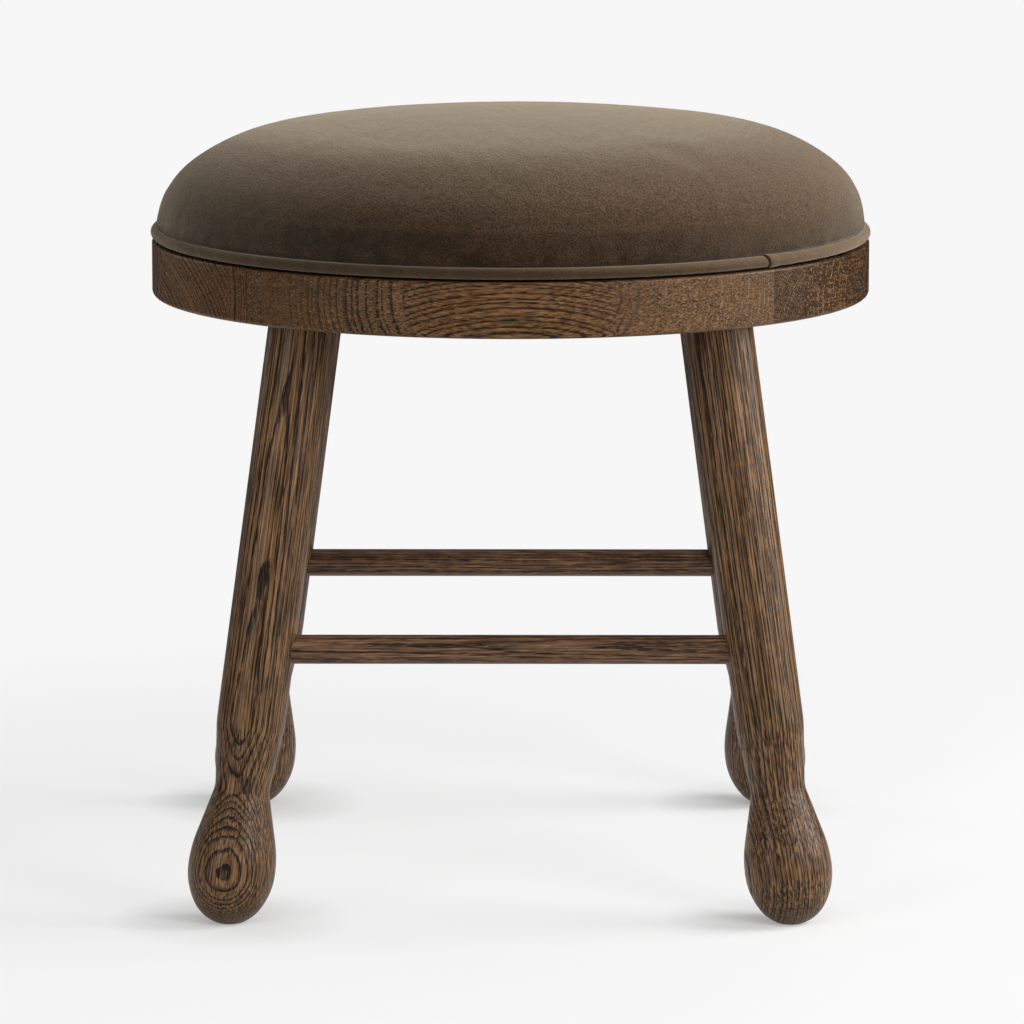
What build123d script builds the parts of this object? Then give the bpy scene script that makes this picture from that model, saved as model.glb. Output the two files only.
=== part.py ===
from build123d import *
from math import asin, atan, cos, degrees, radians, sin, sqrt, tan
import os

# Round upholstered stool: a domed velvet pad, bolted on an oak apron of four segments on splayed turned legs.
# Millimetres and degrees. The floor is at Z = 0, the stool's axis is Z and its front faces -Y.

# Apron: four oak segments that butt on the diagonals, over the legs
apron_radius = 225.0
apron_wall = 25.0
apron_height = 34.0
apron_underside = 366.0
apron_lower_round = 3.0
apron_upper_round = 1.5

# Dowels across the apron joints
dowel_diameter = 8.0
dowel_length = 40.0
dowel_pitch = 16.0
dowel_chamfer = 0.8
dowel_end_gap = 1.0

# Legs: a plain turned shaft, a taper to the ankle, a flare to the bulb and a drop-shaped foot cut flat
# Heights in the profile run along the leg, from the bulb's widest line
leg_diameter = 41.8
leg_splay = 10.6
leg_setback = 0.9
taper_rise = 89.0
taper_round = 60.0
ankle_diameter = 33.0
ankle_rise = 49.5
ankle_round = 18.0
flare_rise = 10.0
bulb_diameter = 53.4
bulb_land = 0.6
bulb_side_round = 43.0
bulb_tip_turn = 33.0
foot_cut = 1.5

# Leg tenons, wedged in the corner blocks
tenon_diameter = 24.0
wedge_length = 26.0
wedge_top = 3.6
wedge_tip = 1.2

# Stretchers: plain rods between the legs of the front pair and of the back pair
stretcher_diameter = 17.8
stretcher_height = 165.5
stretcher_end_setback = 3.0
stretcher_end_gap = 1.0
stretcher_chamfer = 1.0

# Corner blocks behind the apron joints
block_outer_width = 84.0
block_inner_width = 44.0
block_nose = 14.0
block_edge_round = 4.0

# Screws from the blocks into the apron
screw_diameter = 4.5
screw_length = 42.0
screw_tip = 5.0
screw_head_diameter = 9.0
screw_head_height = 3.0
screw_pocket_diameter = 10.6
screw_spread = 60.0
screw_grip = 25.0

# Bolts that hold the pad on the blocks, with washers and tee nuts
bolt_diameter = 6.0
bolt_length = 40.0
bolt_head_diameter = 10.5
bolt_head_height = 4.0
bolt_socket = 4.0
bolt_socket_depth = 2.4
bolt_inset = 21.4
bolt_pocket_diameter = 18.0
bolt_pocket_depth = 9.0
washer_diameter = 16.0
washer_thickness = 1.6
tee_flange_diameter = 19.0
tee_flange = 1.5
tee_barrel_diameter = 8.4
tee_barrel_length = 9.0

# Pad: plywood board, foam, wadding and cover, drawn in at a piped seam
board_thickness = 12.0
wadding_thickness = 6.0
cover_cloth = 1.2
dust_cloth = 0.5
dust_setback = 3.0
hem_width = 32.0
piping_diameter = 7.0
piping_gap = 1.5
piping_reach = 0.75
sleeve_cloth = 0.9
sleeve_slit = 0.6

# Cushion outline: a side round, a shoulder round and a shallow crown, tangent to one another
# The slopes are those of the cover where one round runs into the next
cushion_setback = 3.65
side_round = 51.8
shoulder_round = 125.4
shoulder_slope = 36.3
crown_slope = 5.4
side_rise = 0.5
seam_rise = 2.4
tuck_round = 3.0

# Staples that hold the hem and the dust cover, in the bays between the blocks
staple_width = 10.0
staple_wire = 1.0
staple_crown = 0.6
staple_leg = 8.0
staple_margin = 7.0
staple_spread = 52.0
staples_per_bay = 5

# Clearances
glue_fit = 0.1
bolt_fit = 0.5
tee_fit = 0.1
soft_gap = 0.3

# Where things are around the stool, as azimuths from +X
corners = {"front_right": -45, "back_right": 45, "back_left": 135, "front_left": 225}
facings = {"right": 0, "back": 90, "left": 180, "front": 270}
segment_sweep = 360 / len(facings)
first_corner = corners["back_right"]

# Sizes worked out from the driving dimensions
up = Vector(0, 0, 1)
splay = radians(leg_splay)
apron_top = apron_underside + apron_height
apron_middle = apron_underside + apron_height / 2
apron_inner_radius = apron_radius - apron_wall
dowel_radius = apron_radius - apron_wall / 2

leg_radius = leg_diameter / 2
ankle_radius = ankle_diameter / 2
bulb_radius = bulb_diameter / 2
tenon_radius = tenon_diameter / 2
bulb_tip_round = bulb_side_round - (bulb_side_round - bulb_radius) / cos(radians(bulb_tip_turn))
bulb_tip_drop = (bulb_side_round - bulb_tip_round) * sin(radians(bulb_tip_turn))
bulb_centre_height = bulb_tip_drop * cos(splay) + bulb_tip_round - foot_cut
leg_top_radius = apron_inner_radius - leg_setback - leg_radius / cos(splay)
leg_reach = (apron_underside - bulb_centre_height) / cos(splay)
leg_overlength = leg_reach + leg_radius
tenon_reach = apron_height / cos(splay) + tenon_radius
flare_angle = atan((bulb_radius - ankle_radius) / (ankle_rise - flare_rise))
bulb_shoulder = (flare_rise - bulb_land) / tan(flare_angle / 2)
wedge_width = 2 * sqrt(tenon_radius**2 - (wedge_top / 2) ** 2)

stretcher_radius = stretcher_diameter / 2
tenon_top_radius = leg_top_radius - apron_height * tan(splay)
bolt_circle_radius = tenon_top_radius - bolt_inset
block_outer_radius = apron_inner_radius - glue_fit
block_inner_radius = bolt_circle_radius - block_nose
screw_seat_radius = apron_inner_radius - screw_grip

piping_radius = piping_diameter / 2
piping_level = apron_top + piping_gap + piping_radius
piping_ring_radius = apron_radius + piping_reach - piping_radius
cushion_radius = apron_radius + piping_reach - cushion_setback
band_outer_radius = piping_ring_radius - piping_radius - soft_gap
board_radius = band_outer_radius - cover_cloth - soft_gap
hem_level = apron_top + dust_cloth
board_underside = hem_level + cover_cloth
board_top = board_underside + board_thickness
dust_radius = apron_inner_radius - dust_setback
seam_level = piping_level + seam_rise
side_level = piping_level + side_rise
wadding_inset = cover_cloth + soft_gap
foam_inset = wadding_inset + wadding_thickness + soft_gap
staple_radius = dust_radius - staple_margin
staple_leg_offset = (staple_width - staple_wire) / 2
bolt_head_level = apron_underside + bolt_pocket_depth - washer_thickness


def outward(azimuth):
    """Level direction away from the stool's axis."""
    return Vector(cos(radians(azimuth)), sin(radians(azimuth)), 0)


def sideways(azimuth):
    """Level direction square to the outward one, counter-clockwise from above."""
    return Vector(-sin(radians(azimuth)), cos(radians(azimuth)), 0)


def upright_plane(azimuth):
    """Upright plane through the stool's axis: local x runs outward, local y up."""
    return Plane(origin=(0, 0, 0), x_dir=outward(azimuth), z_dir=-sideways(azimuth))


def level_plane(azimuth, height):
    """Level plane turned to an azimuth: local x runs outward, local y sideways."""
    return Plane(origin=(0, 0, height), x_dir=outward(azimuth), z_dir=up)


def leg_axis_radius(height):
    """Distance from the stool's axis to a leg's axis at a height above the floor."""
    return leg_top_radius + (apron_underside - height) * tan(splay)


def leg_plane(azimuth):
    """Upright plane tilted with a leg: its origin is at the bulb's centre, local y runs up the leg."""
    centre = outward(azimuth) * leg_axis_radius(bulb_centre_height) + up * bulb_centre_height
    tilted = outward(azimuth) * cos(splay) + up * sin(splay)
    return Plane(origin=centre, x_dir=tilted, z_dir=-sideways(azimuth))


def tenon_plane(azimuth):
    """Plane square to a leg's axis where that axis meets the apron's underside."""
    plane = leg_plane(azimuth)
    return Plane(origin=plane.origin + plane.y_dir * leg_reach, x_dir=plane.x_dir, z_dir=plane.y_dir)


def screw_plane(azimuth, side):
    """Plane along a block screw: its origin is under the head, local y runs along the screw, outward."""
    seat = outward(azimuth) * screw_seat_radius + sideways(azimuth) * (side * screw_spread / 2)
    return Plane(origin=seat + up * apron_middle, x_dir=up, z_dir=sideways(azimuth))


def save(piece, name):
    """Label a finished piece and write it to its own file."""
    piece.part.label = name
    export_step(piece.part, f"parts/{name}.step")


def wedge_face(azimuth):
    """Taper of a tenon wedge and of the kerf that it fills, past the tenon's end."""
    wedge_end = leg_reach + tenon_reach
    wedge_start = leg_reach + apron_height / cos(splay) - wedge_length
    with BuildSketch(leg_plane(azimuth)) as face:
        with BuildLine():
            Polyline(
                (-wedge_tip / 2, wedge_start),
                (wedge_tip / 2, wedge_start),
                (wedge_top / 2, wedge_end),
                (-wedge_top / 2, wedge_end),
                close=True,
            )
        make_face()
    return face.sketch


def dome_face(inset, base, corner=0.0):
    """Half section of the cushion, drawn in by an inset all round, down to a level base."""
    side_end = 90 - shoulder_slope
    crown_start = 90 - crown_slope
    to_shoulder = Vector(cos(radians(side_end)), sin(radians(side_end)))
    to_crown = Vector(cos(radians(crown_start)), sin(radians(crown_start)))
    side_centre = Vector(cushion_radius - side_round, side_level)
    shoulder_centre = side_centre - to_shoulder * (shoulder_round - side_round)
    crown_round = shoulder_round + shoulder_centre.X / to_crown.X
    crown_centre = shoulder_centre - to_crown * (crown_round - shoulder_round)
    side_start = degrees(asin((base - side_level) / (side_round - inset)))
    with BuildSketch(Plane.XZ) as face:
        with BuildLine():
            side = CenterArc(side_centre, side_round - inset, side_start, side_end - side_start)
            CenterArc(shoulder_centre, shoulder_round - inset, side_end, crown_start - side_end)
            crown = CenterArc(crown_centre, crown_round - inset, crown_start, crown_slope)
            Polyline(crown @ 1, (0, base), side @ 0)
        make_face()
        if corner > 0:
            fillet(face.vertices().group_by(Axis.Y)[0].sort_by(Axis.X)[-1], corner)
    return face.sketch


def staple_crowns(height):
    """Crowns of all staples as rectangles on a level plane."""
    with BuildSketch(Plane.XY.offset(height)) as crowns:
        for facing in facings.values():
            start = facing - staple_spread / 2
            with PolarLocations(staple_radius, staples_per_bay, start, staple_spread, endpoint=True):
                Rectangle(staple_wire, staple_width)
    return crowns.sketch


def staple_legs(height, fit=0.0):
    """Legs of all staples, or the slots for them, as rectangles on a level plane."""
    with BuildSketch(Plane.XY.offset(height)) as legs:
        for facing in facings.values():
            start = facing - staple_spread / 2
            with PolarLocations(staple_radius, staples_per_bay, start, staple_spread, endpoint=True):
                with Locations((0, staple_leg_offset), (0, -staple_leg_offset)):
                    Rectangle(staple_wire + 2 * fit, staple_wire + 2 * fit)
    return legs.sketch


def bolt_circles(height, radius):
    """Circles round the four pad bolts on a level plane."""
    with BuildSketch(Plane.XY.offset(height)) as circles:
        with PolarLocations(bolt_circle_radius, len(corners), first_corner):
            Circle(radius)
    return circles.sketch


def apron_segment(facing):
    """Quarter of the apron, with the bores of its dowels and block screws."""
    ends = (facing - segment_sweep / 2, facing + segment_sweep / 2)
    with BuildPart() as segment:
        with BuildSketch(upright_plane(ends[0])) as section:
            with Locations((dowel_radius, apron_middle)):
                Rectangle(apron_wall, apron_height)
            outer_lower = section.vertices().group_by(Axis.Y)[0].sort_by(Axis.X)[-1]
            fillet(outer_lower, apron_lower_round)
            outer_upper = section.vertices().group_by(Axis.Y)[-1].sort_by(Axis.X)[-1]
            fillet(outer_upper, apron_upper_round)
        revolve(axis=Axis.Z, revolution_arc=segment_sweep)
        for end in ends:
            with BuildSketch(upright_plane(end)):
                with Locations((dowel_radius, apron_middle)):
                    with GridLocations(0, dowel_pitch, 1, 2):
                        Circle(dowel_diameter / 2 + glue_fit)
            extrude(amount=dowel_length / 2 + dowel_end_gap, both=True, mode=Mode.SUBTRACT)
            for side in (-1, 1):
                bore = screw_plane(end, side)
                with BuildSketch(Plane(origin=bore.origin, x_dir=bore.x_dir, z_dir=bore.y_dir)):
                    Circle(screw_diameter / 2 + glue_fit)
                extrude(amount=screw_length + glue_fit, mode=Mode.SUBTRACT)
    return segment


def turned_leg(azimuth):
    """Splayed leg with its bulb foot, stretcher socket and kerfed tenon."""
    plane = leg_plane(azimuth)
    stretcher_at = leg_axis_radius(stretcher_height) * outward(azimuth)
    inward = -1 if stretcher_at.X > 0 else 1
    socket_bottom = stretcher_at.X + inward * (stretcher_end_setback - stretcher_end_gap)
    with BuildPart() as leg:
        with BuildSketch(plane):
            with BuildLine():
                FilletPolyline(
                    (leg_radius, leg_overlength),
                    (leg_radius, taper_rise),
                    (ankle_radius, ankle_rise),
                    (bulb_radius, flare_rise),
                    (bulb_radius, 0),
                    radius=(taper_round, ankle_round, bulb_shoulder),
                )
                CenterArc((bulb_radius - bulb_side_round, 0), bulb_side_round, -bulb_tip_turn, bulb_tip_turn)
                tip = CenterArc((0, -bulb_tip_drop), bulb_tip_round, -90, 90 - bulb_tip_turn)
                Polyline(tip @ 0, (0, leg_overlength), (leg_radius, leg_overlength))
            make_face()
        revolve(axis=Axis(plane.origin, plane.y_dir))
        split(bisect_by=Plane.XY.offset(apron_underside), keep=Keep.BOTTOM)
        split(bisect_by=Plane.XY, keep=Keep.TOP)
        with BuildSketch(tenon_plane(azimuth)):
            Circle(tenon_radius)
        extrude(amount=tenon_reach, both=True)
        split(bisect_by=Plane.XY.offset(apron_top), keep=Keep.BOTTOM)
        extrude(wedge_face(azimuth), amount=tenon_radius, both=True, mode=Mode.SUBTRACT)
        with BuildSketch(Plane.YZ.offset(socket_bottom)):
            with Locations((stretcher_at.Y, stretcher_height)):
                Circle(stretcher_radius + glue_fit)
        extrude(amount=inward * leg_diameter, mode=Mode.SUBTRACT)
    return leg


def corner_block(azimuth):
    """Block that bridges an apron joint and takes a leg's tenon, two screws and a pad bolt."""
    shoulder = sqrt(block_outer_radius**2 - (block_outer_width / 2) ** 2)
    with BuildPart() as block:
        with BuildSketch(level_plane(azimuth, apron_underside)):
            with BuildLine():
                ThreePointArc(
                    (shoulder, -block_outer_width / 2),
                    (block_outer_radius, 0),
                    (shoulder, block_outer_width / 2),
                )
                Polyline(
                    (shoulder, block_outer_width / 2),
                    (block_inner_radius, block_inner_width / 2),
                    (block_inner_radius, -block_inner_width / 2),
                    (shoulder, -block_outer_width / 2),
                )
            outline = make_face()
            nose = outline.vertices().sort_by_distance((0, 0))[:2]
            fillet(nose, block_edge_round)
        extrude(amount=apron_height)
        with BuildSketch(tenon_plane(azimuth)):
            Circle(tenon_radius + glue_fit)
        extrude(amount=tenon_reach, both=True, mode=Mode.SUBTRACT)
        for side in (-1, 1):
            bore = screw_plane(azimuth, side)
            seat = Plane(origin=bore.origin, x_dir=bore.x_dir, z_dir=bore.y_dir)
            with BuildSketch(seat):
                Circle(screw_diameter / 2 + glue_fit)
            extrude(amount=screw_length, mode=Mode.SUBTRACT)
            with BuildSketch(seat):
                Circle(screw_pocket_diameter / 2)
            extrude(amount=-screw_length, mode=Mode.SUBTRACT)
        bolt_bore = bolt_circles(apron_underside, bolt_diameter / 2 + bolt_fit)
        extrude(bolt_bore, amount=apron_height, mode=Mode.SUBTRACT)
        bolt_pocket = bolt_circles(apron_underside, bolt_pocket_diameter / 2)
        extrude(bolt_pocket, amount=bolt_pocket_depth, mode=Mode.SUBTRACT)
    return block


def stretcher(azimuth):
    """Rod along X between the two legs on one side of the stool, on the side of one of those legs."""
    leg_at = leg_axis_radius(stretcher_height) * outward(azimuth)
    with BuildPart() as rod:
        with BuildSketch(Plane.YZ):
            with Locations((leg_at.Y, stretcher_height)):
                Circle(stretcher_radius)
        extrude(amount=abs(leg_at.X) - stretcher_end_setback, both=True)
        chamfer(rod.edges().filter_by(GeomType.CIRCLE), stretcher_chamfer)
    return rod


os.makedirs("parts", exist_ok=True)

# Frame: apron segments, blocks, legs and stretchers
for name, facing in facings.items():
    save(apron_segment(facing), f"apron_{name}")
for name, azimuth in corners.items():
    save(corner_block(azimuth), f"corner_block_{name}")
    save(turned_leg(azimuth), f"leg_{name}")
save(stretcher(corners["front_right"]), "stretcher_front")
save(stretcher(corners["back_right"]), "stretcher_back")

# Dowels across the apron joints
with BuildPart() as apron_dowels:
    for azimuth in corners.values():
        with BuildSketch(upright_plane(azimuth)):
            with Locations((dowel_radius, apron_middle)):
                with GridLocations(0, dowel_pitch, 1, 2):
                    Circle(dowel_diameter / 2)
        extrude(amount=dowel_length / 2, both=True)
    chamfer(apron_dowels.edges().filter_by(GeomType.CIRCLE), dowel_chamfer)
save(apron_dowels, "apron_dowels")

# Wedges in the leg tenons, cut flush with the blocks
with BuildPart() as leg_wedges:
    for azimuth in corners.values():
        extrude(wedge_face(azimuth), amount=wedge_width / 2, both=True)
    split(bisect_by=Plane.XY.offset(apron_top), keep=Keep.BOTTOM)
save(leg_wedges, "leg_wedges")

# Screws from the blocks into the apron
with BuildPart() as corner_block_screws:
    for azimuth in corners.values():
        for side in (-1, 1):
            plane = screw_plane(azimuth, side)
            with BuildSketch(plane):
                with BuildLine():
                    Polyline(
                        (0, -screw_head_height),
                        (screw_head_diameter / 2, -screw_head_height),
                        (screw_head_diameter / 2, 0),
                        (screw_diameter / 2, 0),
                        (screw_diameter / 2, screw_length - screw_tip),
                        (0, screw_length),
                        close=True,
                    )
                make_face()
            revolve(axis=Axis(plane.origin, plane.y_dir))
save(corner_block_screws, "corner_block_screws")

# Board of the pad, bored for the tee nuts and slotted for the staples
with BuildPart() as seat_board:
    with BuildSketch(Plane.XY.offset(board_underside)):
        Circle(board_radius)
    extrude(amount=board_thickness)
    barrel_bore = bolt_circles(board_underside, tee_barrel_diameter / 2 + tee_fit)
    extrude(barrel_bore, amount=board_thickness, mode=Mode.SUBTRACT)
    flange_seat = bolt_circles(board_top, tee_flange_diameter / 2 + tee_fit)
    extrude(flange_seat, amount=-tee_flange, mode=Mode.SUBTRACT)
    extrude(staple_legs(apron_top, glue_fit), amount=staple_leg + glue_fit, mode=Mode.SUBTRACT)
save(seat_board, "seat_board")

# Bolts, washers and tee nuts of the pad
with BuildPart() as seat_bolts:
    extrude(bolt_circles(bolt_head_level, bolt_head_diameter / 2), amount=-bolt_head_height)
    extrude(bolt_circles(bolt_head_level, bolt_diameter / 2), amount=bolt_length)
    with BuildSketch(Plane.XY.offset(bolt_head_level - bolt_head_height)):
        with PolarLocations(bolt_circle_radius, len(corners), first_corner):
            RegularPolygon(bolt_socket / 2, 6, major_radius=False)
    extrude(amount=bolt_socket_depth, mode=Mode.SUBTRACT)
save(seat_bolts, "seat_bolts")

with BuildPart() as seat_washers:
    extrude(bolt_circles(bolt_head_level, washer_diameter / 2), amount=washer_thickness)
    washer_bore = bolt_circles(bolt_head_level, bolt_diameter / 2 + tee_fit)
    extrude(washer_bore, amount=washer_thickness, mode=Mode.SUBTRACT)
save(seat_washers, "seat_washers")

with BuildPart() as seat_tee_nuts:
    extrude(bolt_circles(board_top, tee_flange_diameter / 2), amount=-tee_flange)
    extrude(bolt_circles(board_top, tee_barrel_diameter / 2), amount=-tee_barrel_length)
    thread_bore = bolt_circles(board_top, bolt_diameter / 2 + tee_fit)
    extrude(thread_bore, amount=-tee_barrel_length, mode=Mode.SUBTRACT)
save(seat_tee_nuts, "seat_tee_nuts")

# Foam, wadding and velvet cover: one cushion outline, drawn in layer by layer
with BuildPart() as seat_foam:
    revolve(dome_face(foam_inset, board_top), axis=Axis.Z)
save(seat_foam, "seat_foam")

with BuildPart() as seat_wadding:
    with BuildSketch(Plane.XZ):
        add(dome_face(wadding_inset, seam_level + wadding_inset, tuck_round - wadding_inset))
        add(dome_face(foam_inset - soft_gap, board_top), mode=Mode.SUBTRACT)
        Rectangle(board_radius + soft_gap, board_top, align=Align.MIN, mode=Mode.SUBTRACT)
    revolve(axis=Axis.Z)
save(seat_wadding, "seat_wadding")

with BuildPart() as seat_cover:
    with BuildSketch(Plane.XZ):
        add(dome_face(0, seam_level, tuck_round))
        hollow = dome_face(cover_cloth, seam_level + cover_cloth, tuck_round - cover_cloth)
        add(hollow, mode=Mode.SUBTRACT)
        Rectangle(band_outer_radius + soft_gap, board_top, align=Align.MIN, mode=Mode.SUBTRACT)
        with Locations((piping_ring_radius, piping_level)):
            Circle(piping_radius + soft_gap, mode=Mode.SUBTRACT)
    revolve(axis=Axis.Z)
save(seat_cover, "seat_cover")

# Piping: a cord in a folded velvet sleeve, open towards its seam
with BuildPart() as piping:
    with BuildSketch(Plane.XZ):
        with Locations((piping_ring_radius, piping_level)):
            Circle(piping_radius)
            Circle(piping_radius - sleeve_cloth, mode=Mode.SUBTRACT)
            Rectangle(piping_radius, sleeve_slit, align=(Align.MAX, Align.CENTER), mode=Mode.SUBTRACT)
    revolve(axis=Axis.Z)
save(piping, "piping")

with BuildPart() as piping_cord:
    with BuildSketch(Plane.XZ):
        with Locations((piping_ring_radius, piping_level)):
            Circle(piping_radius - sleeve_cloth - glue_fit)
    revolve(axis=Axis.Z)
save(piping_cord, "piping_cord")

# Band sewn to the piped seam and turned under the board
with BuildPart() as under_band:
    with BuildSketch(Plane.XZ):
        with Locations((band_outer_radius, hem_level)):
            Rectangle(cover_cloth, seam_level + cover_cloth - hem_level, align=(Align.MAX, Align.MIN))
            Rectangle(hem_width, cover_cloth, align=(Align.MAX, Align.MIN))
    revolve(axis=Axis.Z)
    extrude(staple_legs(hem_level, glue_fit), amount=cover_cloth, mode=Mode.SUBTRACT)
save(under_band, "under_band")

# Dust cover under the pad, with holes for the bolts and slots for the staples
with BuildPart() as dust_cover:
    with BuildSketch(Plane.XY.offset(apron_top)):
        Circle(dust_radius)
        add(bolt_circles(0, bolt_diameter / 2 + bolt_fit), mode=Mode.SUBTRACT)
        add(staple_legs(0, glue_fit), mode=Mode.SUBTRACT)
    extrude(amount=dust_cloth)
save(dust_cover, "dust_cover")

# Staples through the dust cover and the hem into the board
with BuildPart() as staples:
    extrude(staple_crowns(apron_top), amount=-staple_crown)
    extrude(staple_legs(apron_top), amount=staple_leg)
save(staples, "staples")
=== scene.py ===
"""Round velvet stool on turned oak legs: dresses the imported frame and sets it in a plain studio.

Sizes in the classes are millimetres and degrees, meshes are metres. The floor is at Z = 0, the stool's axis
is Z and its front faces -Y.
"""

import logging
from collections.abc import Callable, Mapping, Sequence
from dataclasses import dataclass
from enum import Enum
from functools import partial
from math import atan2, cos, exp, hypot, pi, radians, sin, tan

import bmesh
import bpy
from bmesh.types import BMesh, BMVert
from bpy.types import Material, MeshVertex, Node, NodeSocket, NodeTree, Object
from mathutils import Matrix, Quaternion, Vector, noise
from mathutils.kdtree import KDTree


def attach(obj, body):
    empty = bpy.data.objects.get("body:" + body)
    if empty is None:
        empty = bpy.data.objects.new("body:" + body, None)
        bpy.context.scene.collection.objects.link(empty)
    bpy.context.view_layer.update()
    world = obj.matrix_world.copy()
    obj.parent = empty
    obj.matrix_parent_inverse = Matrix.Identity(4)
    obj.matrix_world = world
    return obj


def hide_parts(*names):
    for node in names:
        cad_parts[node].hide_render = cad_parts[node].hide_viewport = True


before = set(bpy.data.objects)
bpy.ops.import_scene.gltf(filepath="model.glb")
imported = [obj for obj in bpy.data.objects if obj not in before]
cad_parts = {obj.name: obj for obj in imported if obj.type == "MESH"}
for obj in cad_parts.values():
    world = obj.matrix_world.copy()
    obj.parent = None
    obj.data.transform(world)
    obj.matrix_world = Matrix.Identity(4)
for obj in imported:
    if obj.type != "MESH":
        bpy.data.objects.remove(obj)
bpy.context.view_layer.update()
MM = 0.001
LOG = logging.getLogger("stool")
BACKDROP = "#f7f7f7"
SHARP_ANGLE = 50.0
# Numbers of a Mix node's inputs: two colours, or two vectors
A, B, VECTOR_A, VECTOR_B = 6, 7, 4, 5
RGBA = {"data_type": "RGBA"}
TEXTURE = {"vector_type": "TEXTURE"}
SMOOTH = {"interpolation_type": "SMOOTHSTEP"}
Adder = Callable[..., Node]
Triple = tuple[float, float, float]


class Slot(Enum):
    """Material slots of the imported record."""

    VELVET = "velvet"
    DUST_CLOTH = "dust_cloth"


class Corner(Enum):
    """Corners of the frame, as azimuths from +X."""

    FRONT_RIGHT = -45.0
    BACK_RIGHT = 45.0
    BACK_LEFT = 135.0
    FRONT_LEFT = 225.0


def outward(azimuth: float) -> Vector:
    """Level direction from the stool's axis at an azimuth in degrees from +X."""
    return Vector((cos(radians(azimuth)), sin(radians(azimuth)), 0.0))


def linear(hex_colour: str) -> tuple[float, float, float, float]:
    """Turn an sRGB hex colour into linear light.

    Args:
        hex_colour: Colour as "#rrggbb".

    Returns:
        Linear red, green and blue, and an alpha of 1.
    """
    parts = [int(hex_colour[i : i + 2], 16) / 255 for i in (1, 3, 5)]
    red, green, blue = (c / 12.92 if c <= 0.04045 else ((c + 0.055) / 1.055) ** 2.4 for c in parts)
    return red, green, blue, 1.0


def add_node(
    tree: NodeTree, kind: str, inputs: Mapping[str | int, object] | Sequence[object] = (), **settings: object
) -> Node:
    """Add a shader node, set it and wire it.

    Args:
        tree: Node tree that takes the node.
        kind: Blender's name for the kind of node, without its "ShaderNode".
        inputs: The node's first inputs in order, or some by name or number. Each is a value, an sRGB hex
            colour, a socket to link from, or a node, which is linked from its first open output. A map range
            takes its value, the least and most of that, and what they become.
        settings: Values of the node's own properties.

    Returns:
        The new node.
    """
    node = tree.nodes.new(f"ShaderNode{kind}")
    for name, value in settings.items():
        setattr(node, name, value)
    for key, value in inputs.items() if isinstance(inputs, Mapping) else enumerate(inputs):
        if isinstance(value, Node):
            value = next(socket for socket in value.outputs if socket.enabled)
        if isinstance(value, NodeSocket):
            tree.links.new(value, node.inputs[key])
        else:
            node.inputs[key].default_value = linear(value) if isinstance(value, str) else value
    return node


def tell_rays(add: Adder) -> tuple[NodeSocket, Node]:
    """Tell rays that see a surface from rays that only carry its light.

    Args:
        add: Adds a node to a tree.

    Returns:
        What is 1 for camera rays, and what is 1 for camera, glossy and transmission rays.
    """
    path = add("LightPath").outputs
    seen = add("Math", [path["Is Camera Ray"], path["Is Glossy Ray"]], operation="MAXIMUM")
    seen = add("Math", [seen, path["Is Transmission Ray"]], operation="MAXIMUM")
    return path["Is Camera Ray"], seen


@dataclass(frozen=True)
class Finish:
    """A finish, which makes its material once."""

    name: str

    def material(self) -> Material:
        """Find or make the material.

        Returns:
            The material of this finish.
        """
        made = bpy.data.materials.get(self.name)
        if made is None:
            made = bpy.data.materials.new(self.name)
            made.use_nodes = True
            made.node_tree.nodes.clear()
            add = partial(add_node, made.node_tree)
            add("OutputMaterial", {"Surface": self.wire(add)})
        return made

    def wire(self, add: Adder) -> Node:
        """Fill an empty node tree with this finish and give its shader."""
        raise NotImplementedError


@dataclass(frozen=True)
class Board:
    """A board as it lies in a piece: where the pith of its log is, which way the log runs, and how it grew.

    Its edge is how far from the stool's axis the next board is glued on behind it.
    """

    pith: Triple
    grain: Triple
    growth: float = 1.0
    edge: float = 0.0

    def pose(self) -> Matrix:
        """Place of the log, with its pith along local Z."""
        turn = Vector(self.grain).to_track_quat("Z", "X").to_matrix().to_4x4()
        return Matrix.Translation(Vector(self.pith) * MM) @ turn @ Matrix.Scale(self.growth, 4)


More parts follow.
